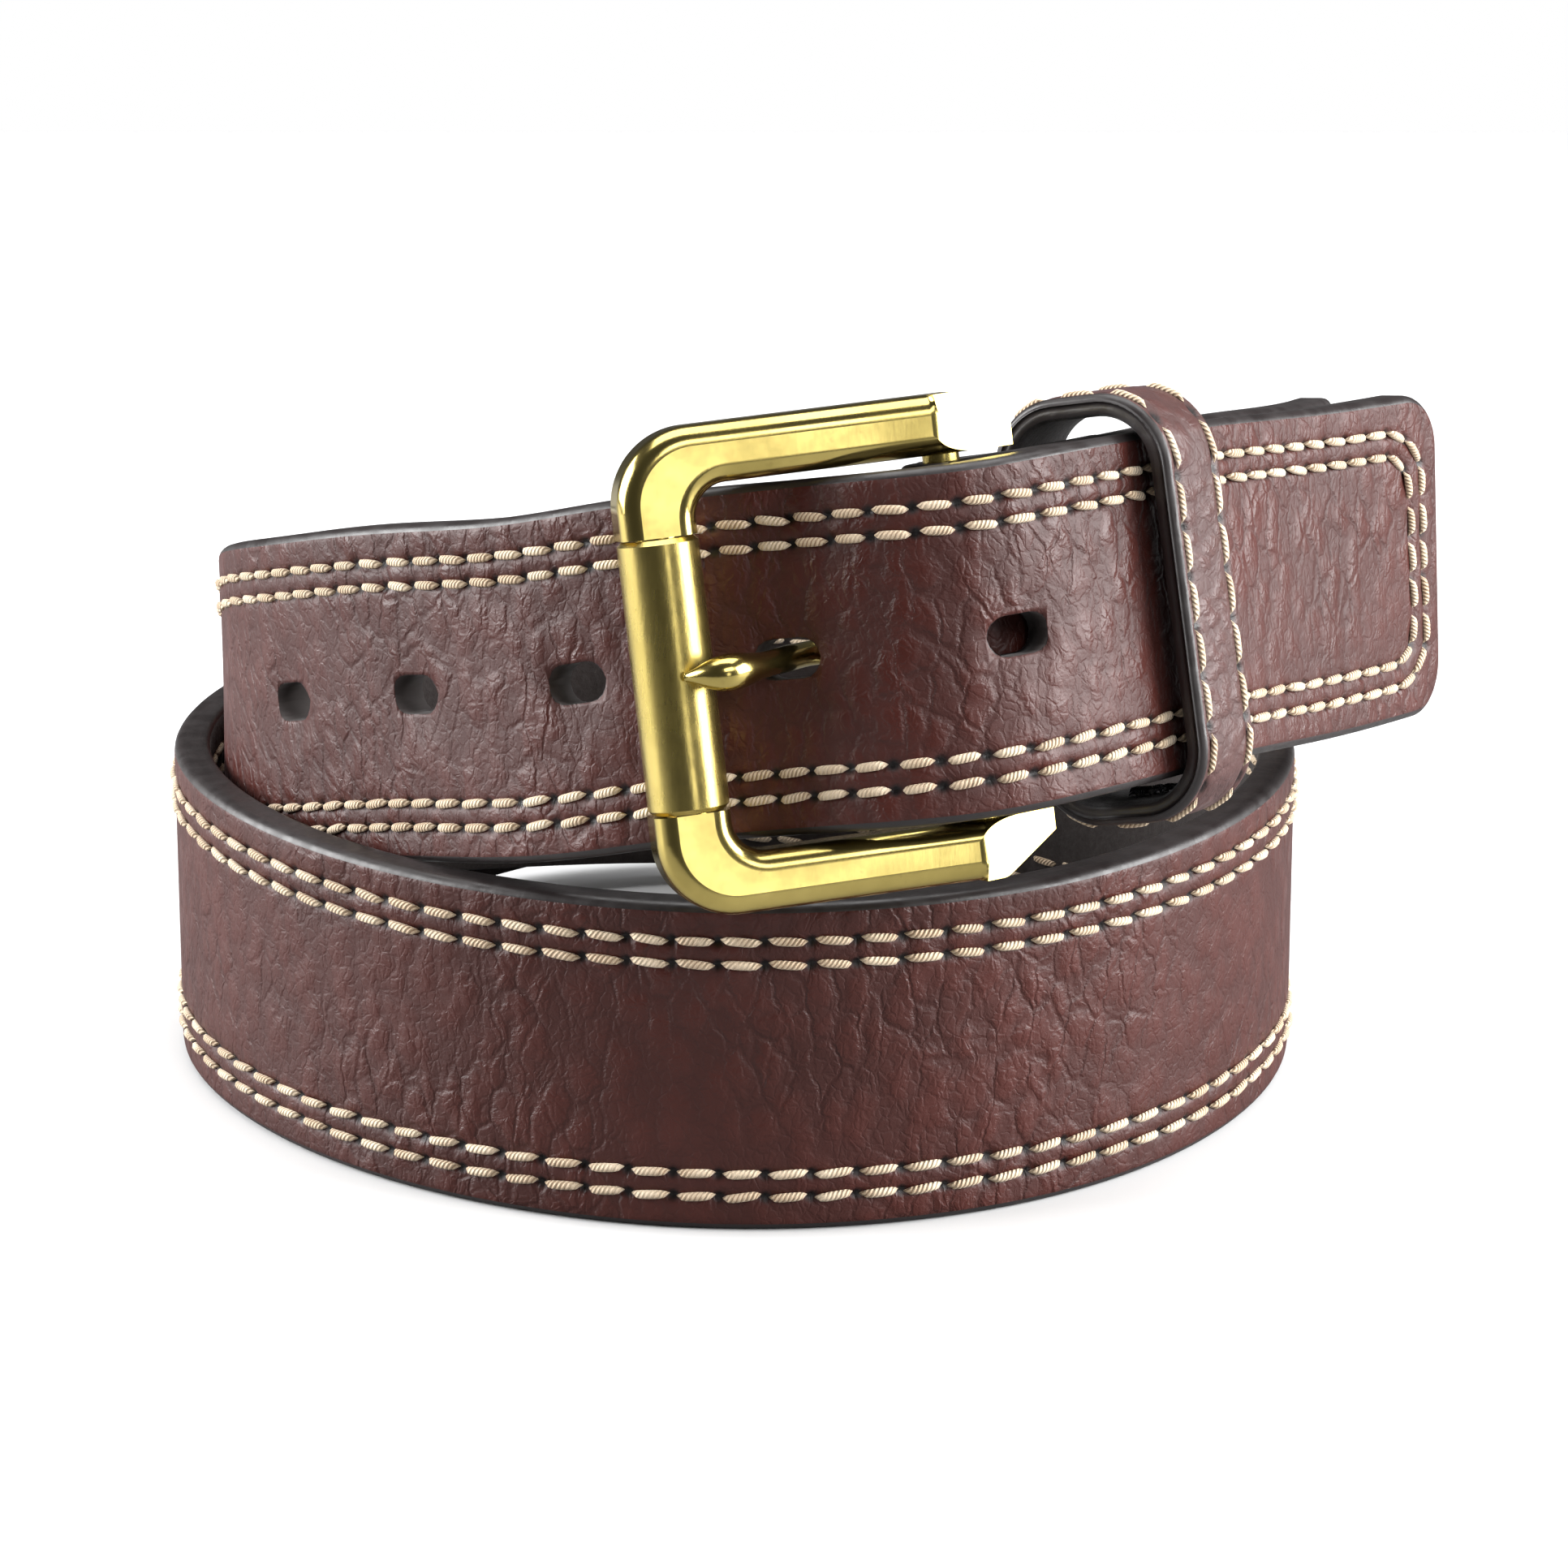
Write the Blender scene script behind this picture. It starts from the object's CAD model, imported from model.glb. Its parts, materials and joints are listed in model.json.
import bisect
import math

import bmesh
import bpy
import numpy as np
from mathutils import Matrix, Vector
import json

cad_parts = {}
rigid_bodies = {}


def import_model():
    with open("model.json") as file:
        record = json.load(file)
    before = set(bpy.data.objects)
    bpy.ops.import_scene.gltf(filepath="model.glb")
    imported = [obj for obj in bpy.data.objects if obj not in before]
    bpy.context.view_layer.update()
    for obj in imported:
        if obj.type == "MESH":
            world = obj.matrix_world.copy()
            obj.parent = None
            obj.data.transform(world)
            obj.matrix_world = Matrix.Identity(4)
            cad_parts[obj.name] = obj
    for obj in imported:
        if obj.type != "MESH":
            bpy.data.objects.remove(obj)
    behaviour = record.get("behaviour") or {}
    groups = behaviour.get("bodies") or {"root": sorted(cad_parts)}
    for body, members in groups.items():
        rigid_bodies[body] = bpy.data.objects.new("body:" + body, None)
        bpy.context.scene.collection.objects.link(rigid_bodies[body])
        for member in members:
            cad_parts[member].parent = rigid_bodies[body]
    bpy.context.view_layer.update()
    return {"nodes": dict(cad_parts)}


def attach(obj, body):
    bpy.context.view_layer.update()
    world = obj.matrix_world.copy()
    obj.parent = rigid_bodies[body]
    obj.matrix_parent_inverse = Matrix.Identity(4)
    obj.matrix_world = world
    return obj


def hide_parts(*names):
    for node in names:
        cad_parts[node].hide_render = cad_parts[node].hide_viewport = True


# A buckled leather belt wound into a standing double coil. The CAD frame gives every brass
# piece; this script cuts the leather and sews it. Sizes are in mm until a mesh is made.
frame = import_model()
MM = 0.001

# ---- sizes the leather shares with the CAD parts --------------------------------------------
strap_w = 38.0
ply_t = 2.2
pass_gap = 0.7
floor_snap = 0.08
coil_r = 65.2
coil_centre = np.array([-8.26, 5.62, 0.0])
tip_clip = 6.5
hole_l, hole_h = 7.6, 4.4
hole_pitch = 24.5
holes_before, holes_after = 3, 1
row_margins = (4.1, 6.8)
roller_r = 4.4
heel_x, heel_z, heel_bar_r = 32.0, -0.7, 2.0
wrap_gap = 0.3
buckle_heading, buckle_roll, buckle_lean = 13.6, 4.0, 12.0
buckle_x, buckle_out, buckle_rise = -0.089 * coil_r, 9.7, strap_w + 9.2
fold_l, fold_run, fold_close = 30.0, 4.0, 9.0
keeper_w, keeper_face_t, keeper_lining_t = 11.5, 1.4, 1.1
keeper_side, keeper_front, keeper_back = 2.2, 2.0, 6.0
keeper_s, keeper_corner = 29.0, 6.0

strap_t = 2 * ply_t
half_w = strap_w / 2
pass_pitch = strap_t + pass_gap
outer_face, inner_face = ply_t, -ply_t

# Sewing: the stitches are longer round the lower coil than on the upper strand.
pitch_low, pitch_high = 4.95, 4.47
stitch_gap = 0.55
thread_r = 0.47
row_start = 6.0


# ---- the strap's route ----------------------------------------------------------------------
def unit(v):
    return v / np.linalg.norm(v)


def across(tangent, lean):
    """Width direction and outward normal of a strap that runs along tangent."""
    plan = unit(np.array([tangent[1], -tangent[0], 0.0]))
    up = np.array([0.0, 0.0, math.cos(math.radians(lean))]) - plan * math.sin(math.radians(lean))
    up = unit(up - tangent * up.dot(tangent))
    return up, np.cross(tangent, up)


heading, roll = math.radians(buckle_heading), math.radians(buckle_roll)
buckle_t = np.array([
    math.cos(heading) * math.cos(roll), math.sin(heading) * math.cos(roll), math.sin(roll)
])
buckle_b, buckle_m = across(buckle_t, buckle_lean)
buckle_o = coil_centre + np.array([buckle_x, -(coil_r + buckle_out), half_w + buckle_rise])


def buckle_point(x, z, y=0.0):
    """A point in the buckle's frame: x along it, y up its width, z outward."""
    return buckle_o + buckle_t * x + buckle_b * y + buckle_m * z


def polar(azimuth, radius, rise, lean):
    a = math.radians(azimuth)
    x, y, _ = coil_centre + radius * np.array([math.cos(a), math.sin(a), 0.0])
    return (x, y, half_w + rise * buckle_rise, lean)


def local(x, z, lean, y=0.0):
    return (*buckle_point(x, z, y), lean)


behind_roller = -(roller_r + 1.0 + strap_t / 2)
start_z = heel_z + heel_bar_r + wrap_gap
over_heel = start_z + pass_pitch
inner_r = coil_r - pass_pitch - 1.2
outer_r = coil_r + pass_pitch

route = np.array([
    local(heel_x, start_z, buckle_lean),
    local(heel_x + 8.1, start_z - 3.3, 13.0),
    local(heel_x + 17.7, start_z - 10.4, 13.0),
    local(heel_x + 29.2, start_z - 21.8, 12.5),
    polar(-24, coil_r - 3.2, 0.949, 9),
    polar(-6, coil_r + 0.4, 0.881, 4),
    polar(9, outer_r + 0.6, 0.809, 1),
    polar(22, outer_r + 1.3, 0.689, 0),
    polar(38, outer_r + 0.8, 0.540, 0),
    polar(60, outer_r - 0.6, 0.350, -1),
    polar(90, outer_r - 2.2, 0.138, -1),
    polar(120, coil_r + 1.2, 0.042, 0),
    polar(150, coil_r + 0.3, 0, 0),
    polar(180, coil_r, 0, 0),
    polar(210, coil_r - 1.9, 0, 0),
    polar(240, coil_r - 1.6, 0, 0),
    polar(270, coil_r + 0.4, 0, 0),
    polar(300, coil_r + 1.0, 0, 0),
    polar(330, coil_r, 0, 0),
    polar(360, coil_r, 0, 0),
    polar(390, coil_r - 0.2, 0, 0),
    polar(420, coil_r - 2.6, 0.011, 0),
    polar(450, coil_r - 4.4, 0.053, 0),
    polar(480, coil_r - 5.2, 0.105, 0),
    polar(510, inner_r + 0.4, 0.235, 0),
    polar(538, inner_r + 0.2, 0.430, 0.6),
    polar(554, inner_r - 0.5, 0.560, 1.0),
    polar(569, inner_r - 2.0, 0.655, 1.5),
    polar(590.7, inner_r - 1.5, 0.775, 3),
    polar(610.3, coil_r - 2.8, 0.872, 7),
    local(2.0, behind_roller - 0.1, 9.5),
    local(13.0, behind_roller + 5.6, 10.5),
    local(23.0, over_heel - 1.8, 12.0),
    local(heel_x, over_heel, 12.5),
    local(heel_x + 10.5, over_heel - 3.7, 13.0, 0.2),
    local(heel_x + 21.0, over_heel - 11.4, 13.0, 0.2),
    local(heel_x + 33.0, over_heel - 23.2, 12.5),
    local(heel_x + 48.0, over_heel - 37.5, 11.0, -0.9),
    local(heel_x + 69.5, over_heel - 56.5, 6.0, -1.3),
])


def natural_spline(knots, values):
    """Cubic spline with free ends; returns a function giving value and slope."""
    h = np.diff(knots)
    n = len(knots)
    rows = np.eye(n)
    rhs = np.zeros_like(values)
    for i in range(1, n - 1):
        rows[i, i - 1:i + 2] = h[i - 1], 2 * (h[i - 1] + h[i]), h[i]
        rhs[i] = 6 * ((values[i + 1] - values[i]) / h[i] - (values[i] - values[i - 1]) / h[i - 1])
    bend = np.linalg.solve(rows, rhs)

    def at(u):
        i = min(max(bisect.bisect(knots, u) - 1, 0), n - 2)
        a = (knots[i + 1] - u) / h[i]
        b = 1 - a
        value = a * values[i] + b * values[i + 1]
        value = value + ((a**3 - a) * bend[i] + (b**3 - b) * bend[i + 1]) * h[i]**2 / 6
        slope = (values[i + 1] - values[i]) / h[i]
        slope = slope + ((1 - 3 * a * a) * bend[i] + (3 * b * b - 1) * bend[i + 1]) * h[i] / 6
        return value, slope

    return at


chords = np.hypot(*np.diff(route[:, :2], axis=0).T)
route_knots = list(np.concatenate([[0.0], np.cumsum(chords)]))
route_at = natural_spline(route_knots, route)
fine_u = np.linspace(0.0, route_knots[-1], 4001)
fine_points = np.array([route_at(u)[0][:3] for u in fine_u])
fine_s = np.concatenate([[0.0], np.cumsum(np.linalg.norm(np.diff(fine_points, axis=0), axis=1))])
strap_l = float(fine_s[-1])


def station(s):
    """Centre, tangent, width direction and outward normal at arc length s."""
    value, slope = route_at(float(np.interp(s, fine_s, fine_u)))
    if value[2] < half_w + floor_snap:
        value[2], value[3], slope[2] = half_w, 0.0, 0.0
    tangent = buckle_t if s <= 0 else unit(slope[:3])
    b, m = across(tangent, value[3])
    return value[:3], tangent, b, m


def half_width(s):
    """Half of the strap's width, with the tip's corners rounded off."""
    run = min(tip_clip, max(0.0, s - (strap_l - tip_clip)))
    return half_w - tip_clip + math.sqrt(tip_clip**2 - run**2)


# ---- stitch holes, counted along the strap ---------------------------------------------------
low_coil = (190.0, 575.0)
pitch_ramp = 30.0
count_s = np.arange(0.0, strap_l + 1, 1.0)
inside = np.clip((count_s - low_coil[0]) / pitch_ramp, 0, 1)
inside = inside * np.clip((low_coil[1] - count_s) / pitch_ramp, 0, 1)
count_n = np.cumsum(1.0 / (pitch_high + (pitch_low - pitch_high) * inside))


def stitch_row(margin):
    """Needle holes of one row as (s, y): along the lower edge, round the tip and back."""
    y = half_w - margin
    end = strap_l - margin
    clip = tip_clip - margin * (2 - math.sqrt(2))
    first_n = math.ceil(np.interp(row_start, count_s, count_n))
    side_n = np.arange(first_n, np.interp(end - clip, count_s, count_n))
    side = [(float(np.interp(n, count_n, count_s)), -y) for n in side_n]
    corners = np.array([
        side[-1], (end - clip, -y), (end, clip - y), (end, y - clip), (end - clip, y), (side[-1][0], y)
    ])
    run = np.concatenate([[0.0], np.cumsum(np.linalg.norm(np.diff(corners, axis=0), axis=1))])
    steps = np.linspace(0, run[-1], round(run[-1] / pitch_high) + 1)[1:-1]
    tip = [tuple(float(np.interp(d, run, corners[:, k])) for k in (0, 1)) for d in steps]
    return side + tip + [(s, -yy) for s, yy in reversed(side)]


rows = [stitch_row(margin) for margin in row_margins]
needle_holes = np.array([hole for row in rows for hole in row])

tongue_s = np.arange(strap_l - 130, strap_l, 0.1)
tongue_x = [float((station(s)[0] - buckle_o).dot(buckle_t)) for s in tongue_s]
prong_hole_s = float(tongue_s[bisect.bisect(tongue_x, 13.6)])
heel_s = float(tongue_s[bisect.bisect(tongue_x, heel_x)])
prong_holes = [prong_hole_s + hole_pitch * i for i in range(-holes_before, holes_after + 1)]


# ---- mesh helpers ----------------------------------------------------------------------------
def new_object(name, mesh, *materials):
    obj = bpy.data.objects.new(name, mesh)
    bpy.context.scene.collection.objects.link(obj)
    for material in materials:
        mesh.materials.append(material)
    return obj


def plain_mesh(obj):
    """The object's mesh with its modifiers applied, in place of the one it had."""
    mesh = bpy.data.meshes.new_from_object(obj.evaluated_get(bpy.context.evaluated_depsgraph_get()))
    obj.modifiers.clear()
    obj.data = mesh
    return obj


def grid_mesh(name, points, uv=None, attributes=None, material_of=None):
    """Closed tube of quads from an array (stations, ring points, 3), with flat caps."""
    n, k = points.shape[:2]
    index = np.arange(n * k).reshape(n, k)
    quads = np.stack([index[:-1], np.roll(index[:-1], -1, 1), np.roll(index[1:], -1, 1), index[1:]], -1)
    faces = [tuple(int(i) for i in q) for q in quads.reshape(-1, 4)]
    faces.append(tuple(int(i) for i in index[0][::-1]))
    faces.append(tuple(int(i) for i in index[-1]))
    mesh = bpy.data.meshes.new(name)
    mesh.from_pydata((points.reshape(-1, 3) * MM).tolist(), [], faces)
    for key, values in (attributes or {}).items():
        layer = mesh.attributes.new(key, "FLOAT", "POINT")
        layer.data.foreach_set("value", np.asarray(values, dtype=np.float32).ravel())
    if uv is not None:
        layer = mesh.uv_layers.new(name="cut")
        loops = np.empty(len(mesh.loops), dtype=np.int32)
        mesh.loops.foreach_get("vertex_index", loops)
        layer.data.foreach_set("uv", uv.reshape(-1, 2)[loops].astype(np.float32).ravel())
    if material_of is not None:
        per_face = list(material_of) * (n - 1) + [material_of[-1], material_of[-1]]
        mesh.polygons.foreach_set("material_index", per_face)
    mesh.polygons.foreach_set("use_smooth", [True] * (len(faces) - 2) + [False, False])
    mesh.update()
    bm = bmesh.new()
    bm.from_mesh(mesh)
    if bm.calc_volume(signed=True) < 0:
        bmesh.ops.reverse_faces(bm, faces=bm.faces)
        bm.to_mesh(mesh)
    bm.free()
    return mesh


def obround_cutter(name, s, inner, outer, length, height):
    """Closed obround plug through the strap, for cutting a prong hole."""
    centre, tangent, b, m = station(s)
    r = height / 2
    angles = np.linspace(-math.pi / 2, math.pi / 2, 9)
    right = [(length / 2 - r + r * math.cos(a), r * math.sin(a)) for a in angles]
    left = [(-x, -y) for x, y in right]
    ring = np.array([centre + tangent * x + b * y for x, y in right + left])
    points = np.stack([ring + m * inner, ring + m * outer])
    return grid_mesh(name, points)


# ---- materials -------------------------------------------------------------------------------
def group_tree(name, inputs, outputs):
    """New shader group with (name, kind, default) inputs and (name, kind) outputs."""
    tree = bpy.data.node_groups.new(name, "ShaderNodeTree")
    for label, kind, default in inputs:
        socket = tree.interface.new_socket(label, in_out="INPUT", socket_type=kind)
        if default is not None:
            socket.default_value = default
    for label, kind in outputs:
        tree.interface.new_socket(label, in_out="OUTPUT", socket_type=kind)
    return tree, tree.nodes.new("NodeGroupInput"), tree.nodes.new("NodeGroupOutput")


def math_node(tree, operation, a, b=None, clamp=False):
    """A Math node on two sockets or numbers; returns its output."""
    made = tree.nodes.new("ShaderNodeMath")
    made.operation = operation
    made.use_clamp = clamp
    for i, value in enumerate((a, b)):
        if value is None:
            continue
        if isinstance(value, (int, float)):
            made.inputs[i].default_value = value
        else:
            tree.links.new(value, made.inputs[i])
    return made.outputs[0]


def ramp(tree, value, low, high, to_low=0.0, to_high=1.0):
    """Smooth step of value between low and high."""
    made = tree.nodes.new("ShaderNodeMapRange")
    made.interpolation_type = "SMOOTHSTEP"
    for key, number in (("From Min", low), ("From Max", high), ("To Min", to_low), ("To Max", to_high)):
        made.inputs[key].default_value = number
    tree.links.new(value, made.inputs["Value"])
    return made.outputs["Result"]


def mix_colour(tree, factor, a, b, blend="MIX"):
    """Mix two colours, each a socket or an (r, g, b) triple."""
    made = tree.nodes.new("ShaderNodeMix")
    made.data_type = "RGBA"
    made.blend_type = blend
    sockets = [s for s in made.inputs if s.enabled]
    for socket, value in zip(sockets, (factor, a, b)):
        if isinstance(value, (int, float)):
            socket.default_value = value
        elif isinstance(value, tuple):
            socket.default_value = (*value, 1.0)
        else:
            tree.links.new(value, socket)
    return next(s for s in made.outputs if s.enabled)


def texture(tree, kind, vector, scale, **settings):
    made = tree.nodes.new(kind)
    made.inputs["Scale"].default_value = scale
    for key, value in settings.items():
        if key in made.inputs.keys():
            made.inputs[key].default_value = value
        else:
            setattr(made, key, value)
    tree.links.new(vector, made.inputs["Vector"])
    return made


def stretched(tree, vector, x, y, z, angle=0.0):
    made = tree.nodes.new("ShaderNodeMapping")
    made.inputs["Scale"].default_value = (x, y, z)
    made.inputs["Rotation"].default_value = (0, 0, math.radians(angle))
    tree.links.new(vector, made.inputs["Vector"])
    return made.outputs["Vector"]


def leather_grain_group():
    """Soft pebbled full grain cut by fine slanting creases: height, crease mask and cloud mask."""
    tree, enter, leave = group_tree(
        "leather_grain",
        [("Vector", "NodeSocketVector", None), ("Pebble Scale", "NodeSocketFloat", 360.0),
         ("Crease Strength", "NodeSocketFloat", 1.0)],
        [("Height", "NodeSocketFloat"), ("Crease", "NodeSocketFloat"), ("Cloud", "NodeSocketFloat")],
    )
    vector = enter.outputs["Vector"]
    bend = texture(tree, "ShaderNodeTexNoise", vector, 260.0, Detail=5.0, Roughness=0.6)
    wobble = tree.nodes.new("ShaderNodeVectorMath")
    wobble.operation = "MULTIPLY_ADD"
    tree.links.new(bend.outputs["Color"], wobble.inputs[0])
    wobble.inputs[1].default_value = (0.0028, 0.0028, 0.0)
    tree.links.new(vector, wobble.inputs[2])
    warped = wobble.outputs[0]
    patches = texture(tree, "ShaderNodeTexNoise", vector, 42.0, Detail=2.0).outputs["Fac"]

    pebble = tree.nodes.new("ShaderNodeTexVoronoi")
    pebble.feature = "SMOOTH_F1"
    pebble.inputs["Smoothness"].default_value = 0.35
    tree.links.new(stretched(tree, warped, 1.0, 0.62, 1.0, 28.0), pebble.inputs["Vector"])
    tree.links.new(enter.outputs["Pebble Scale"], pebble.inputs["Scale"])
    domes = ramp(tree, pebble.outputs["Distance"], 0.05, 0.8, 1.0, 0.0)
    fine = texture(tree, "ShaderNodeTexVoronoi", stretched(tree, warped, 1.0, 0.7, 1.0, 40.0), 980.0,
                   feature="DISTANCE_TO_EDGE").outputs["Distance"]
    fine_cells = ramp(tree, fine, 0.0, 0.2)
    creases = texture(tree, "ShaderNodeTexVoronoi", stretched(tree, warped, 1.0, 0.5, 1.0, 38.0), 330.0,
                      feature="DISTANCE_TO_EDGE").outputs["Distance"]
    crease_line = ramp(tree, creases, 0.0, 0.12, 1.0, 0.0)
    crease_here = math_node(tree, "MULTIPLY", crease_line, ramp(tree, patches, 0.36, 0.6))
    crease = math_node(tree, "MULTIPLY", crease_here, enter.outputs["Crease Strength"])
    pores = texture(tree, "ShaderNodeTexNoise", vector, 3200.0, Detail=2.0).outputs["Fac"]
    height = math_node(tree, "MULTIPLY", domes, ramp(tree, patches, 0.25, 0.7, 0.5, 1.0))
    height = math_node(tree, "ADD", height, math_node(tree, "MULTIPLY", fine_cells, 0.12))
    height = math_node(tree, "ADD", height, math_node(tree, "MULTIPLY", pores, 0.10))
    height = math_node(tree, "SUBTRACT", height, math_node(tree, "MULTIPLY", crease, 0.42))
    tree.links.new(height, leave.inputs["Height"])
    tree.links.new(crease, leave.inputs["Crease"])
    cloud = texture(tree, "ShaderNodeTexNoise", vector, 26.0, Detail=4.0, Roughness=0.6)
    tree.links.new(cloud.outputs["Fac"], leave.inputs["Cloud"])
    return tree


leather_grain = leather_grain_group()


def new_material(name):
    material = bpy.data.materials.new(name)
    material.use_nodes = True
    tree = material.node_tree
    shader = tree.nodes["Principled BSDF"]
    return material, tree, shader


def bump(tree, shader, height, strength, distance):
    made = tree.nodes.new("ShaderNodeBump")
    made.inputs["Strength"].default_value = strength
    made.inputs["Distance"].default_value = distance
    tree.links.new(height, made.inputs["Height"])
    tree.links.new(made.outputs["Normal"], shader.inputs["Normal"])


def uv_vector(tree):
    made = tree.nodes.new("ShaderNodeUVMap")
    made.uv_map = "cut"
    return made.outputs["UV"]


def point_value(tree, name):
    made = tree.nodes.new("ShaderNodeAttribute")
    made.attribute_name = name
    return made.outputs["Fac"]


def grain_leather(name, dark, mid, light, pebble_scale=360.0, crease=1.0, roughness=(0.36, 0.52)):
    """Oiled full-grain leather; light catches the pebbles' tops and the creases stay dark."""
    material, tree, shader = new_material(name)
    vector = uv_vector(tree)
    grain = tree.nodes.new("ShaderNodeGroup")
    grain.node_tree = leather_grain
    grain.inputs["Pebble Scale"].default_value = pebble_scale
    grain.inputs["Crease Strength"].default_value = crease
    tree.links.new(vector, grain.inputs["Vector"])
    cloud = ramp(tree, grain.outputs["Cloud"], 0.32, 0.7)
    colour = mix_colour(tree, cloud, mid, light)
    valley = ramp(tree, grain.outputs["Height"], 0.0, 0.6, 1.0, 0.0)
    colour = mix_colour(tree, math_node(tree, "MULTIPLY", valley, 0.3), colour, dark)
    needle = ramp(tree, point_value(tree, "needle"), 0.3, 1.0, 1.0, 0.0)
    colour = mix_colour(tree, needle, colour, (0.004, 0.002, 0.002))
    tree.links.new(colour, shader.inputs["Base Color"])
    rough = ramp(tree, grain.outputs["Height"], 0.1, 1.0, roughness[1], roughness[0])
    tree.links.new(rough, shader.inputs["Roughness"])
    shader.inputs["Specular IOR Level"].default_value = 0.34
    shader.inputs["Sheen Weight"].default_value = 0.02
    shader.inputs["Sheen Roughness"].default_value = 0.3
    shader.inputs["Sheen Tint"].default_value = (0.8, 0.72, 0.95, 1)
    bump(tree, shader, grain.outputs["Height"], 0.6, 0.00050)
    return material


def edge_paint_material():
    material, tree, shader = new_material("edge_paint")
    vector = uv_vector(tree)
    lumps = texture(tree, "ShaderNodeTexNoise", vector, 420.0, Detail=3.0)
    drawn = stretched(tree, vector, 0.15, 1.0, 1.0)
    streaks = texture(tree, "ShaderNodeTexNoise", drawn, 1500.0, Detail=2.0)
    colour = mix_colour(tree, streaks.outputs["Fac"], (0.008, 0.006, 0.006), (0.024, 0.018, 0.018))
    tree.links.new(colour, shader.inputs["Base Color"])
    tree.links.new(ramp(tree, lumps.outputs["Fac"], 0.3, 0.7, 0.34, 0.5), shader.inputs["Roughness"])
    streak_height = math_node(tree, "MULTIPLY", streaks.outputs["Fac"], 0.4)
    height = math_node(tree, "ADD", lumps.outputs["Fac"], streak_height)
    bump(tree, shader, height, 0.35, 0.0003)
    return material


def suede_material(name, dark, light, scale=1500.0):
    material, tree, shader = new_material(name)
    vector = uv_vector(tree)
    nap = texture(tree, "ShaderNodeTexNoise", vector, scale, Detail=4.0, Roughness=0.7)
    cloud = texture(tree, "ShaderNodeTexNoise", vector, 60.0, Detail=3.0)
    colour = mix_colour(tree, cloud.outputs["Fac"], dark, light)
    specks = ramp(tree, nap.outputs["Fac"], 0.66, 0.74)
    colour = mix_colour(tree, math_node(tree, "MULTIPLY", specks, 0.35), colour, (0.16, 0.13, 0.12))
    tree.links.new(colour, shader.inputs["Base Color"])
    tree.links.new(ramp(tree, nap.outputs["Fac"], 0.3, 0.7, 0.95, 0.7), shader.inputs["Roughness"])
    shader.inputs["Sheen Weight"].default_value = 0.08
    bump(tree, shader, nap.outputs["Fac"], 0.6, 0.0003)
    return material


def thread_material(name, base, shade, highlight):
    """Waxed thread of three plies; the stitch's own map runs along it and round it."""
    material, tree, shader = new_material(name)
    made = tree.nodes.new("ShaderNodeUVMap")
    made.uv_map = "twist"
    wave = tree.nodes.new("ShaderNodeTexWave")
    wave.wave_type = "BANDS"
    wave.bands_direction = "X"
    wave.inputs["Scale"].default_value = 1.0
    wave.inputs["Distortion"].default_value = 0.35
    tree.links.new(stretched(tree, made.outputs["UV"], 1.0, 1.0, 1.0, 0.0), wave.inputs["Vector"])
    coordinates = tree.nodes.new("ShaderNodeTexCoord")
    dirt = texture(tree, "ShaderNodeTexNoise", coordinates.outputs["Object"], 190.0, Detail=3.0)
    colour = mix_colour(tree, ramp(tree, wave.outputs["Fac"], 0.0, 0.55), shade, base)
    colour = mix_colour(tree, ramp(tree, dirt.outputs["Fac"], 0.35, 0.7), colour, highlight)
    tree.links.new(colour, shader.inputs["Base Color"])
    tree.links.new(ramp(tree, wave.outputs["Fac"], 0.0, 1.0, 0.75, 0.5), shader.inputs["Roughness"])
    shader.inputs["Sheen Weight"].default_value = 0.2
    bump(tree, shader, wave.outputs["Fac"], 0.8, 0.0002)
    return material


def brass_material(name, brushed):
    """Polished brass with faint tarnish; brushed sets how far fine lines dull it."""
    material, tree, shader = new_material(name)
    coordinates = tree.nodes.new("ShaderNodeTexCoord")
    place = coordinates.outputs["Object"]
    cloud = texture(tree, "ShaderNodeTexNoise", place, 90.0, Detail=4.0, Roughness=0.6)
    upright = stretched(tree, place, 1.0, 1.0, 0.06)
    lines = texture(tree, "ShaderNodeTexNoise", upright, 2600.0, Detail=2.0)
    specks = texture(tree, "ShaderNodeTexNoise", place, 900.0, Detail=3.0)
    tarnish = ramp(tree, cloud.outputs["Fac"], 0.3, 0.72)
    colour = mix_colour(tree, tarnish, (0.58, 0.46, 0.15), (0.42, 0.33, 0.10))
    spots = math_node(tree, "MULTIPLY", ramp(tree, specks.outputs["Fac"], 0.64, 0.72), 0.15)
    colour = mix_colour(tree, spots, colour, (0.22, 0.16, 0.06))
    tree.links.new(colour, shader.inputs["Base Color"])
    shader.inputs["Metallic"].default_value = 1.0
    base = ramp(tree, cloud.outputs["Fac"], 0.3, 0.75, 0.12 + 0.05 * brushed, 0.18 + 0.08 * brushed)
    line_rough = math_node(tree, "MULTIPLY", lines.outputs["Fac"], 0.08 * brushed)
    rough = math_node(tree, "ADD", base, line_rough)
    tree.links.new(rough, shader.inputs["Roughness"])
    height = math_node(tree, "ADD", math_node(tree, "MULTIPLY", lines.outputs["Fac"], brushed),
                       math_node(tree, "MULTIPLY", specks.outputs["Fac"], 0.2))
    bump(tree, shader, height, 0.12, 0.0001)
    return material


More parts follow.
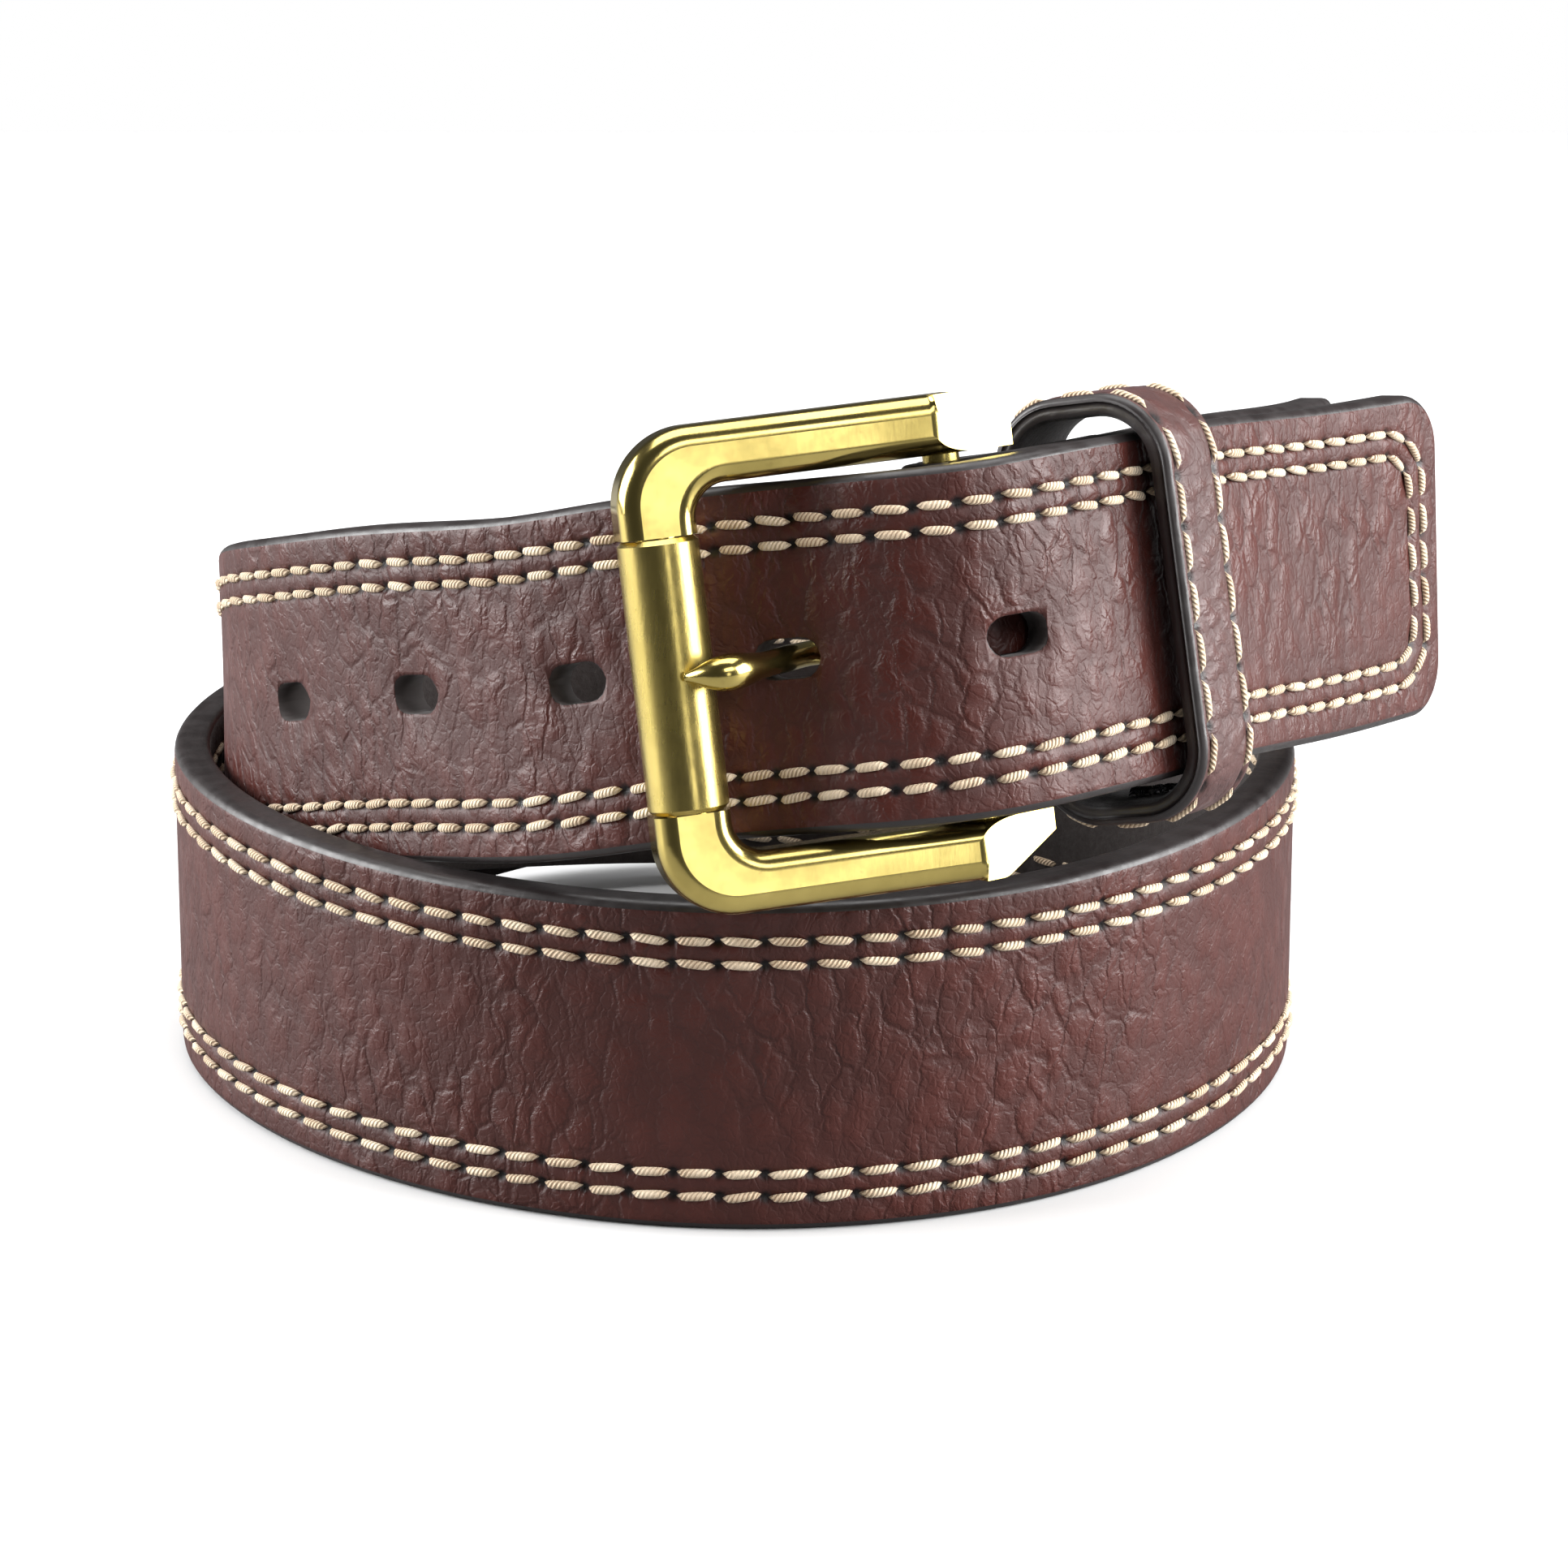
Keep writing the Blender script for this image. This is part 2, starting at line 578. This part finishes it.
strap_leather = grain_leather("strap_leather", (0.012, 0.0025, 0.0018), (0.048, 0.0090, 0.0058),
                              (0.064, 0.0140, 0.0100))
keeper_leather = grain_leather("keeper_leather", (0.02, 0.008, 0.007), (0.060, 0.024, 0.021),
                               (0.085, 0.040, 0.037), 620.0, 0.3)
edge_paint = edge_paint_material()
lining_leather = suede_material("lining_leather", (0.012, 0.008, 0.007), (0.03, 0.02, 0.018), 900.0)
keeper_suede = suede_material("keeper_suede", (0.006, 0.005, 0.006), (0.016, 0.013, 0.014))
cream_thread = thread_material("cream_thread", (0.62, 0.47, 0.31), (0.26, 0.16, 0.09),
                               (0.74, 0.60, 0.43))
black_thread = thread_material("black_thread", (0.02, 0.02, 0.022), (0.006, 0.006, 0.006),
                               (0.03, 0.03, 0.03))
polished_brass = brass_material("polished_brass", 0.3)
brushed_brass = brass_material("brushed_brass", 1.0)


# ---- the strap: both plies, painted edges, needle holes, prong holes ---------------------------
edge_offsets = [0.0, 0.08, 0.25, 0.5, 0.85, 1.3, 1.9, 2.5, 3.1, 3.55, 3.8, 4.1, 4.4, 4.65, 5.0,
                5.45, 5.9, 6.25, 6.5, 6.8, 7.1, 7.35, 7.8, 8.6]
edge_radius = 1.25              # rounding of the painted edge
groove_depth, groove_w = 0.22, 0.42
dimple_depth, dimple_w = 0.42, 0.62
puff = 0.10                     # leather raised between the two rows


def face_relief(s, y):
    """Height of the leather over its ply at arrays (s, y), and the distance to a needle hole."""
    to_side = half_w - np.abs(y)
    to_end = strap_l - s
    to_edge = np.minimum(np.minimum(to_side, to_end), (to_side + to_end - tip_clip) / math.sqrt(2))
    to_edge = np.maximum(to_edge, 0.0)
    height = np.zeros_like(s)
    for margin in row_margins:
        height -= groove_depth * np.exp(-((to_edge - margin) / groove_w)**2)
    between = sum(row_margins) / 2
    height += puff * np.exp(-((to_edge - between) / 0.9)**2)
    corner = np.hypot(np.maximum(tip_clip - to_side, 0), np.maximum(tip_clip - to_end, 0))
    to_rim = np.minimum(np.minimum(to_side, to_end), tip_clip - corner)
    round_off = np.clip((edge_radius - to_rim) / edge_radius, 0, 1)
    height -= edge_radius * (1 - np.sqrt(1 - round_off**2))
    nearest = np.full(s.shape, 9.0)
    close = to_edge < 9.0
    cs, cy = s[close], y[close]
    found = np.empty(cs.shape)
    order = np.argsort(needle_holes[:, 0])
    holes = needle_holes[order]
    for start in range(0, len(cs), 4000):
        part_s, part_y = cs[start:start + 4000], cy[start:start + 4000]
        low = np.searchsorted(holes[:, 0], part_s.min() - 6)
        high = np.searchsorted(holes[:, 0], part_s.max() + 6)
        here = holes[low:max(high, low + 1)]
        found[start:start + 4000] = np.sqrt(
            (part_s[:, None] - here[:, 0])**2 + (part_y[:, None] - here[:, 1])**2).min(axis=1)
    nearest[close] = found
    height -= dimple_depth * np.exp(-(nearest / dimple_w)**2)
    for hole_s in prong_holes:
        along = np.maximum(np.abs(s - hole_s) - (hole_l - hole_h) / 2, 0)
        rim = np.hypot(along, y) - hole_h / 2
        height -= 0.45 * np.exp(-(np.maximum(rim, 0) / 0.7)**2)
    return height, nearest


def strap_stations():
    """Arc lengths that fall on the needle holes and between them, closer at the tip."""
    last = strap_l - 10.0
    n = np.arange(math.ceil(count_n[0]), np.interp(last, count_s, count_n))
    parts = np.concatenate([n + f for f in (0.0, 0.11, 0.27, 0.5, 0.73, 0.89)])
    body = np.interp(np.sort(parts), count_n, count_s)
    body = body[(body > 0.4) & (body < last)]
    return np.concatenate([[0.0], body, np.linspace(last, strap_l, 34)])


def build_strap():
    s_list = strap_stations()
    frames = [station(s) for s in s_list]
    centre, _, b, m = (np.array([f[i] for f in frames]) for i in range(4))
    width = np.array([half_width(s) for s in s_list])
    inner = edge_offsets[-1]
    side = np.array(edge_offsets)
    middle = np.linspace(-1, 1, 9)[1:-1]
    low = -width[:, None] + side[None, :]
    face_y = np.concatenate([low, middle[None, :] * (width[:, None] - inner), -low[:, ::-1]], axis=1)
    face_s = np.repeat(s_list[:, None], face_y.shape[1], axis=1)
    relief, needle = face_relief(face_s.ravel(), face_y.ravel())
    relief, needle = relief.reshape(face_y.shape), needle.reshape(face_y.shape)
    back_pick = [0, 1, 2, 3, 5, 8, 11, 14, 17, 19, 22, 26, 28, 32, 35, 37, 40, 43, 46, 49, 51,
                 52, 53, 54]
    back_y = face_y[:, back_pick][:, ::-1]
    back_relief = relief[:, back_pick][:, ::-1] * 0.55
    back_needle = needle[:, back_pick][:, ::-1]
    edge_z = np.linspace(outer_face - edge_radius, inner_face + edge_radius * 0.55, 5)[1:-1]
    ring_y = np.concatenate([face_y, np.repeat(width[:, None], 3, 1), back_y,
                             np.repeat(-width[:, None], 3, 1)], axis=1)
    up_edge = np.repeat(edge_z[None], len(s_list), 0)
    ring_z = np.concatenate([outer_face + relief, up_edge, inner_face - back_relief, up_edge[:, ::-1]], axis=1)
    points = centre[:, None, :] + b[:, None, :] * ring_y[..., None] + m[:, None, :] * ring_z[..., None]
    ring_needle = np.concatenate([needle, np.full((len(s_list), 3), 9.0), back_needle,
                                  np.full((len(s_list), 3), 9.0)], axis=1)
    ring_s = np.repeat(s_list[:, None], ring_y.shape[1], 1)
    uv = np.stack([ring_s * MM, (ring_y + ring_z * 0.7) * MM], -1)
    face_n, back_n = face_y.shape[1], back_y.shape[1]
    painted = 4
    kinds = [1 if k < painted or k >= face_n - 1 - painted else 0 for k in range(face_n)]
    kinds += [1] * 3 + [2 if 2 < k < back_n - 3 else 1 for k in range(back_n)] + [1] * 3
    mesh = grid_mesh("strap", points, uv=uv, attributes={"needle": ring_needle}, material_of=kinds)
    return new_object("strap", mesh, strap_leather, edge_paint, lining_leather)


strap = build_strap()
for i, s in enumerate(prong_holes):
    plug = obround_cutter(f"hole_cutter_{i}", s, inner_face - 0.5, outer_face + 0.5, hole_l, hole_h)
    cutter = new_object(f"hole_cutter_{i}", plug, lining_leather)
    cut = strap.modifiers.new(f"hole_{i}", "BOOLEAN")
    cut.operation = "DIFFERENCE"
    cut.solver = "EXACT"
    cut.object = cutter
plain_mesh(strap)
for obj in [o for o in bpy.data.objects if o.name.startswith("hole_cutter")]:
    bpy.data.objects.remove(obj)


# ---- stitches ----------------------------------------------------------------------------------
def stitch_shape():
    """One stitch 1 long on x, from hole to hole, its ends dipping into the leather."""
    rings, around = 8, 7
    verts, uvs, faces = [], [], []
    for i in range(rings):
        f = i / (rings - 1)
        x = f - 0.5
        e = abs(2 * x)
        r = 0.5 * math.sqrt(max(0.0, 1 - e**3.2)) + 0.06
        sink = -0.62 * e**5
        for j in range(around):
            a = 2 * math.pi * j / around
            verts.append((x, r * math.cos(a), r * 0.86 * math.sin(a) + sink))
    for i in range(rings - 1):
        for j in range(around):
            k = (j + 1) % around
            faces.append((i * around + j, i * around + k, (i + 1) * around + k, (i + 1) * around + j))
            for ii, jj in ((i, j), (i, j + 1), (i + 1, j + 1), (i + 1, j)):
                uvs.append((ii / (rings - 1) * 2.6 + jj / around, jj / around))
    mesh = bpy.data.meshes.new("stitch_shape")
    caps = [tuple(range(around))[::-1], tuple((rings - 1) * around + j for j in range(around))]
    mesh.from_pydata(verts, [], [tuple(reversed(face)) for face in faces + caps])
    layer = mesh.uv_layers.new(name="twist")
    flat = []
    for q in range(0, len(uvs), 4):
        flat += uvs[q:q + 4][::-1]
    flat += [(0.0, 0.0)] * (2 * around)
    layer.data.foreach_set("uv", [c for pair in flat for c in pair])
    mesh.polygons.foreach_set("use_smooth", [True] * len(mesh.polygons))
    mesh.update()
    bm = bmesh.new()
    bm.from_mesh(mesh)
    bmesh.ops.recalc_face_normals(bm, faces=bm.faces)
    bm.to_mesh(mesh)
    bm.free()
    return bpy.data.objects.new("stitch_shape", mesh)


def stitching_tree(material):
    """Geometry Nodes: one stitch on every point, turned and sized by the points' own values."""
    tree = bpy.data.node_groups.new("sew_stitches", "GeometryNodeTree")
    face = tree.interface
    face.new_socket("Geometry", in_out="INPUT", socket_type="NodeSocketGeometry")
    face.new_socket("Stitch", in_out="INPUT", socket_type="NodeSocketObject")
    thickness = face.new_socket("Thread Thickness", in_out="INPUT", socket_type="NodeSocketFloat")
    thickness.default_value = 2 * thread_r * MM
    face.new_socket("Geometry", in_out="OUTPUT", socket_type="NodeSocketGeometry")
    enter, leave = tree.nodes.new("NodeGroupInput"), tree.nodes.new("NodeGroupOutput")
    shape = tree.nodes.new("GeometryNodeObjectInfo")
    tree.links.new(enter.outputs["Stitch"], shape.inputs["Object"])
    turn = tree.nodes.new("GeometryNodeInputNamedAttribute")
    turn.data_type = "FLOAT_VECTOR"
    turn.inputs["Name"].default_value = "turn"
    length = tree.nodes.new("GeometryNodeInputNamedAttribute")
    length.data_type = "FLOAT"
    length.inputs["Name"].default_value = "length"
    size = tree.nodes.new("ShaderNodeCombineXYZ")
    tree.links.new(length.outputs["Attribute"], size.inputs["X"])
    tree.links.new(enter.outputs["Thread Thickness"], size.inputs["Y"])
    tree.links.new(enter.outputs["Thread Thickness"], size.inputs["Z"])
    place = tree.nodes.new("GeometryNodeInstanceOnPoints")
    tree.links.new(enter.outputs["Geometry"], place.inputs["Points"])
    tree.links.new(shape.outputs["Geometry"], place.inputs["Instance"])
    tree.links.new(turn.outputs["Attribute"], place.inputs["Rotation"])
    tree.links.new(size.outputs["Vector"], place.inputs["Scale"])
    real = tree.nodes.new("GeometryNodeRealizeInstances")
    tree.links.new(place.outputs["Instances"], real.inputs["Geometry"])
    paint = tree.nodes.new("GeometryNodeSetMaterial")
    paint.inputs["Material"].default_value = material
    tree.links.new(real.outputs["Geometry"], paint.inputs["Geometry"])
    tree.links.new(paint.outputs["Geometry"], leave.inputs["Geometry"])
    return tree


stitch = stitch_shape()
sewing = {}


def sew(name, places, material, thickness):
    """Plain mesh of stitches; places are (middle, along, outward, length) in mm."""
    turns, lengths, points = [], [], []
    for middle, along, outward, length in places:
        x = Vector(along).normalized()
        z = Vector(outward)
        z = (z - x * z.dot(x)).normalized()
        y = z.cross(x)
        turns += list(Matrix((x, y, z)).transposed().to_euler("XYZ"))
        lengths.append(length * MM)
        points.append(tuple(np.asarray(middle) * MM))
    mesh = bpy.data.meshes.new(name)
    mesh.from_pydata(points, [], [])
    mesh.attributes.new("turn", "FLOAT_VECTOR", "POINT").data.foreach_set("vector", turns)
    mesh.attributes.new("length", "FLOAT", "POINT").data.foreach_set("value", lengths)
    obj = new_object(name, mesh)
    if material.name not in sewing:
        sewing[material.name] = stitching_tree(material)
    modifier = obj.modifiers.new("sew", "NODES")
    modifier.node_group = sewing[material.name]
    for item in sewing[material.name].interface.items_tree:
        if item.in_out == "INPUT" and item.name == "Stitch":
            modifier[item.identifier] = stitch
        if item.in_out == "INPUT" and item.name == "Thread Thickness":
            modifier[item.identifier] = thickness * MM
    return plain_mesh(obj)


def strap_stitches(row, side, seed):
    """Places of one row's stitches; side +1 is the face, -1 the lining."""
    rng = np.random.default_rng(seed)
    places = []
    for (s0, y0), (s1, y1) in zip(row, row[1:]):
        gap = math.hypot(s1 - s0, y1 - y0)
        centre, tangent, b, m = station((s0 + s1) / 2)
        ds, dy = (s1 - s0) / gap, (y1 - y0) / gap
        slant = math.radians(float(rng.normal(4.0, 2.0))) * (1 if ds >= 0 else -1)
        turned_s = ds * math.cos(slant) - dy * math.sin(slant)
        turned_y = ds * math.sin(slant) + dy * math.cos(slant)
        along = tangent * turned_s + b * turned_y
        lift = 0.12 + 0.05 * float(rng.normal())
        depth = (outer_face + lift) if side > 0 else (inner_face - lift * 0.5)
        middle = centre + b * ((y0 + y1) / 2) + m * depth
        places.append((middle, along, m * side, gap - stitch_gap + float(rng.normal(0, 0.12))))
    return places


thread_pieces = []
for label, row, seed in (("outer", rows[0], 3), ("inner", rows[1], 5)):
    piece = sew(f"stitches_{label}_row", strap_stitches(row, 1, seed), cream_thread, 2 * thread_r)
    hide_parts(f"stitch_thread_{label}_row")
    thread_pieces.append(piece)
    behind = strap_stitches(row, -1, seed + 20)
    thread_pieces.append(sew(f"stitches_{label}_row_lining", behind, cream_thread, 2 * thread_r * 0.9))


# ---- the strap's end: round the heel bar and folded back ----------------------------------------
def fold_front(s):
    k = min(1.0, max(0.0, (s - fold_run) / fold_close))
    k = k * k * (3 - 2 * k)
    return -2 * (heel_bar_r + wrap_gap) * (1 - k) + inner_face * k


def rounded_band_ring(depth, height, corner, steps=4):
    """Ring of (across, out) for a band section: depth thick, height wide, rounded corners."""
    ring = []
    for sy, sz, start in ((1, 1, 0), (-1, 1, 90), (-1, -1, 180), (1, -1, 270)):
        for i in range(steps + 1):
            a = math.radians(start + 90 * i / steps)
            ring.append((sy * (height / 2 - corner) + corner * math.cos(a),
                         sz * (depth / 2 - corner) + corner * math.sin(a)))
        if sy * sz > 0:
            edge = [(1 - i / 8) * 2 - 1 for i in range(1, 8)]
            ring += [(sy * (height / 2 - corner) * e, sz * depth / 2) for e in edge]
    return ring


def build_fold():
    """Face ply from the fold's end, round the heel bar, ending flush on the main strap."""
    path = []
    for s in np.linspace(fold_l, 0.3, 28):
        centre, tangent, b, m = station(s)
        path.append((centre + m * (fold_front(s) - ply_t / 2), b, -m, s))
    axis = buckle_point(heel_x, heel_z)
    mid_r = heel_bar_r + wrap_gap + ply_t / 2
    for a in np.radians(np.linspace(270, 92, 16)):
        out = buckle_t * math.cos(a) + buckle_m * math.sin(a)
        path.append((axis + out * mid_r, buckle_b, out, mid_r * (a - 1.5 * math.pi)))
    ring = rounded_band_ring(ply_t - 0.04, strap_w - 0.1, 0.7)
    points = np.array([[c + b * y + m * z for y, z in ring] for c, b, m, _ in path])
    uv = np.array([[(s * MM, (y + z) * MM) for y, z in ring] for _, _, _, s in path])
    kinds = [1 if abs(y) >= half_w - 1.5 or z == 0 else 0 if z > 0 else 2 for y, z in ring]
    mesh = grid_mesh("strap_fold", points, uv=uv, material_of=kinds,
                     attributes={"needle": np.full(points.shape[:2], 9.0)})
    return new_object("strap_fold", mesh, strap_leather, edge_paint, lining_leather)


fold = build_fold()


# ---- keeper: suede-lined loop with two rows of long stitches ------------------------------------
keeper_c, keeper_t, keeper_b, keeper_m = station(heel_s + keeper_s)
keeper_d = keeper_front + strap_t + pass_pitch + keeper_back
keeper_h = strap_w + 2 * keeper_side
keeper_centre = keeper_c + keeper_m * (outer_face + keeper_front - keeper_d / 2)


def keeper_point(angle_step, steps):
    """Point and outward direction on the keeper's inside outline, by fraction of its way round."""
    w, h, r = keeper_h / 2, keeper_d / 2, keeper_corner
    straight = (2 * (h - r), 2 * (w - r))
    arc = math.pi * r / 2
    total = 2 * sum(straight) + 4 * arc
    d = (angle_step / steps) * total
    spots = [((w, -(h - r)), (0, 1), straight[0], 0), ((w - r, h - r), 0, arc, 0),
             ((w - r, h), (-1, 0), straight[1], 90), ((-(w - r), h - r), 90, arc, 90),
             ((-w, h - r), (0, -1), straight[0], 180), ((-(w - r), -(h - r)), 180, arc, 180),
             ((-(w - r), -h), (1, 0), straight[1], 270), ((w - r, -(h - r)), 270, arc, 270)]
    for spot, way, length, start in spots:
        if d <= length + 1e-9:
            if isinstance(way, tuple):
                a = math.radians(start)
                return (spot[0] + way[0] * d, spot[1] + way[1] * d), (math.cos(a), math.sin(a)), total
            a = math.radians(way + 90 * d / arc)
            way = (math.cos(a), math.sin(a))
            return (spot[0] + r * way[0], spot[1] + r * way[1]), way, total
        d -= length
    return keeper_point(0, steps)


keeper_steps = 150
keeper_path = [keeper_point(i, keeper_steps) for i in range(keeper_steps)]
keeper_around = keeper_path[0][2]
keeper_row = keeper_w / 2 - 1.7
keeper_pitch = keeper_around / round(keeper_around / 5.6)


def keeper_world(place, out, lift, along):
    """Point of the keeper: on its inside outline, lifted outward, and along the strap."""
    p = (place[0] + out[0] * lift, place[1] + out[1] * lift)
    return keeper_centre + keeper_b * p[0] + keeper_m * p[1] + keeper_t * along


def build_keeper():
    """Two glued plies: the ring section's face side is sewn, its back is suede."""
    skin = keeper_lining_t + keeper_face_t
    half = keeper_w / 2
    offsets = [-half + d for d in (0.0, 0.1, 0.35, 0.7, 1.1, 1.45, 1.7, 1.95, 2.3, 2.9, 3.8)]
    offsets = offsets + [0.0] + [-o for o in reversed(offsets)]
    edge_z = [skin - 0.7, keeper_lining_t + 0.15, keeper_lining_t - 0.05, 0.35]
    back = [-o for o in offsets[1:-1:2]]
    points, uv, needle = [], [], []
    for i, (place, out, total) in enumerate(keeper_path):
        s = total * i / keeper_steps
        to_hole = (s / keeper_pitch) % 1.0
        to_hole = min(to_hole, 1 - to_hole) * keeper_pitch
        ring, ring_uv, ring_needle = [], [], []
        for o in offsets:
            gap = half - abs(o)
            relief = -0.9 * (1 - math.sqrt(1 - max(0.0, (0.9 - gap) / 0.9)**2))
            row_gap = abs(abs(o) - keeper_row)
            relief -= 0.22 * math.exp(-(row_gap / 0.4)**2)
            hole = math.hypot(row_gap, to_hole)
            relief -= 0.3 * math.exp(-(hole / 0.6)**2)
            relief += 0.18 * (1 - (o / half)**2)
            ring.append(keeper_world(place, out, skin + relief, o))
            ring_uv.append((s * MM, o * MM))
            ring_needle.append(hole)
        for z in edge_z:
            groove = 0.12 if abs(z - keeper_lining_t) < 0.2 else 0.0
            ring.append(keeper_world(place, out, z, half - groove))
            ring_uv.append((s * MM, (half + skin - z) * MM))
            ring_needle.append(9.0)
        for o in back:
            ring.append(keeper_world(place, out, 0.3 if abs(o) > half - 0.4 else 0.0, o))
            ring_uv.append((s * MM, (o + 20) * MM))
            ring_needle.append(9.0)
        for z in reversed(edge_z):
            groove = 0.12 if abs(z - keeper_lining_t) < 0.2 else 0.0
            ring.append(keeper_world(place, out, z, -half + groove))
            ring_uv.append((s * MM, (-half - skin + z) * MM))
            ring_needle.append(9.0)
        points.append(ring)
        uv.append(ring_uv)
        needle.append(ring_needle)
    points = np.array(points)
    n, k = points.shape[:2]
    uv = np.array(uv)
    index = np.arange(n * k).reshape(n, k)
    nxt = np.roll(index, -1, 0)
    quads = np.stack([index, np.roll(index, -1, 1), np.roll(nxt, -1, 1), nxt], -1).reshape(-1, 4)
    mesh = bpy.data.meshes.new("keeper")
    faces = [tuple(int(v) for v in q) for q in quads]
    mesh.from_pydata((points.reshape(-1, 3) * MM).tolist(), [], faces)
    mesh.attributes.new("needle", "FLOAT", "POINT").data.foreach_set(
        "value", np.array(needle, dtype=np.float32).ravel())
    layer = mesh.uv_layers.new(name="cut")
    loops = np.empty(len(mesh.loops), dtype=np.int32)
    mesh.loops.foreach_get("vertex_index", loops)
    flat_uv = uv.reshape(-1, 2)[loops]
    wrap = (loops < k) & (np.arange(len(loops)) // 4 >= (n - 1) * k)
    flat_uv[wrap, 0] = keeper_around * MM
    layer.data.foreach_set("uv", flat_uv.astype(np.float32).ravel())
    face_n, edge_n, back_n = len(offsets), len(edge_z), len(back)
    kinds = [1 if j < 3 or j >= face_n - 4 else 0 for j in range(face_n)]
    kinds += [1] * edge_n + [2] * back_n + [1] * edge_n
    mesh.polygons.foreach_set("material_index", kinds * n)
    mesh.polygons.foreach_set("use_smooth", [True] * len(mesh.polygons))
    mesh.update()
    bm = bmesh.new()
    bm.from_mesh(mesh)
    bmesh.ops.recalc_face_normals(bm, faces=bm.faces)
    bm.to_mesh(mesh)
    bm.free()
    return new_object("keeper", mesh, keeper_leather, edge_paint, keeper_suede)


def keeper_stitches():
    rng = np.random.default_rng(11)
    skin = keeper_lining_t + keeper_face_t
    places = []
    for side in (1, -1):
        for i in range(round(keeper_around / keeper_pitch)):
            turns = [(i + e) * keeper_pitch / keeper_around * keeper_steps for e in (0.0, 0.5, 1.0)]
            ends = [keeper_point(turn % keeper_steps, keeper_steps) for turn in turns]
            spots = [keeper_world(p, o, skin + 0.14, side * keeper_row) for p, o, _ in ends]
            out = keeper_b * ends[1][1][0] + keeper_m * ends[1][1][1]
            length = keeper_pitch - 0.6 + float(rng.normal(0, 0.1))
            places.append((spots[1], spots[2] - spots[0], out, length))
    return places


keeper = build_keeper()
keeper_thread = sew("keeper_stitches", keeper_stitches(), cream_thread, 0.8)


def seam_knot():
    """Black thread drawn through the keeper's joint, lying in a small pile inside it."""
    rng = np.random.default_rng(4)
    base = keeper_centre - keeper_b * (keeper_h / 2 - 0.45)
    places = []
    for i in range(16):
        a = float(rng.uniform(0, math.pi))
        spot = base + keeper_t * float(rng.uniform(-3.0, 3.0)) + keeper_m * float(rng.uniform(-2.2, 2.2))
        spot = spot + keeper_b * float(rng.uniform(0, 0.35))
        along = keeper_t * math.cos(a) + keeper_m * math.sin(a)
        along = along + keeper_b * float(rng.uniform(-0.15, 0.15))
        places.append((spot, along, keeper_b, float(rng.uniform(2.0, 3.4))))
    return places


knot = sew("keeper_seam_knot", seam_knot(), black_thread, 0.6)

# ---- what rides on what --------------------------------------------------------------------------
for piece in [strap, fold] + thread_pieces:
    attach(piece, "strap")
for piece in (keeper, keeper_thread, knot):
    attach(piece, "keeper")
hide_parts("strap_face", "strap_lining")
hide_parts("keeper_face", "keeper_lining")
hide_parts("keeper_stitch_thread")
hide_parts("keeper_seam_thread")
for name, material in (("buckle_frame", polished_brass), ("prong", polished_brass),
                       ("heel_bar", brushed_brass), ("roller", brushed_brass),
                       ("fold_screw_posts", brushed_brass), ("fold_screws", brushed_brass)):
    obj = frame["nodes"][name]
    for slot in obj.material_slots:
        slot.material = material

# ---- studio ----------------------------------------------------------------------------------------
scene = bpy.context.scene
scene.view_settings.view_transform = "Standard"


def floor():
    material, tree, shader = new_material("pale_floor")
    coordinates = tree.nodes.new("ShaderNodeTexCoord")
    cloud = texture(tree, "ShaderNodeTexNoise", coordinates.outputs["Object"], 3.0, Detail=2.0)
    white = mix_colour(tree, cloud.outputs["Fac"], (0.70, 0.705, 0.71), (0.72, 0.72, 0.72))
    seen = tree.nodes.new("ShaderNodeLightPath").outputs["Is Camera Ray"]
    tree.links.new(mix_colour(tree, seen, (0.26, 0.26, 0.26), white), shader.inputs["Base Color"])
    shader.inputs["Roughness"].default_value = 0.55
    mesh = bpy.data.meshes.new("floor")
    size = 0.62
    corners = [(-size, -size, 0), (size, -size, 0), (size, size, 0), (-size, size, 0)]
    mesh.from_pydata(corners, [], [(0, 1, 2, 3)])
    obj = new_object("floor", mesh, material)


def softbox(name, place, aim, width, height, power, colour=(1, 1, 1)):
    light = bpy.data.lights.new(name, "AREA")
    light.shape = "RECTANGLE"
    light.size, light.size_y = width, height
    light.energy = power
    light.color = colour
    obj = bpy.data.objects.new(name, light)
    scene.collection.objects.link(obj)
    obj.location = place
    obj.rotation_euler = (Vector(aim) - Vector(place)).to_track_quat("-Z", "Y").to_euler()


floor()
aim = (0.0, -0.02, 0.05)
softbox("top_box", (0.0, 0.15, 0.85), aim, 0.9, 0.7, 9.0)
softbox("left_box", (-0.86, 0.04, 0.34), aim, 0.80, 0.6, 20.0)
softbox("right_box", (0.85, -0.10, 0.34), aim, 0.80, 0.6, 24.0)
softbox("key_box", (0.38, -0.72, 0.62), aim, 0.6, 0.3, 3.0)
softbox("key_strip", (0.386, -0.93, 0.18), aim, 0.16, 0.25, 0.4)
world = bpy.data.worlds.new("studio")
world.use_nodes = True
sky = world.node_tree
seen = sky.nodes.new("ShaderNodeLightPath")
strength = sky.nodes.new("ShaderNodeMapRange")
strength.inputs["To Min"].default_value = 0.07
strength.inputs["To Max"].default_value = 1.0
sky.links.new(seen.outputs["Is Camera Ray"], strength.inputs["Value"])
sky.nodes["Background"].inputs["Color"].default_value = (1, 1, 1, 1)
sky.links.new(strength.outputs["Result"], sky.nodes["Background"].inputs["Strength"])
scene.world = world

camera_data = bpy.data.cameras.new("camera")
camera_data.sensor_width = 36.0
camera_data.lens = 131.13
camera_data.clip_start, camera_data.clip_end = 0.05, 20.0
camera = bpy.data.objects.new("camera", camera_data)
scene.collection.objects.link(camera)
camera.location = ((coil_centre[0] + 6.0) * MM, (coil_centre[1] - 661.0) * MM, 230.7 * MM)
camera.rotation_euler = (math.radians(90 - 16.77), 0.0, 0.0)
scene.camera = camera
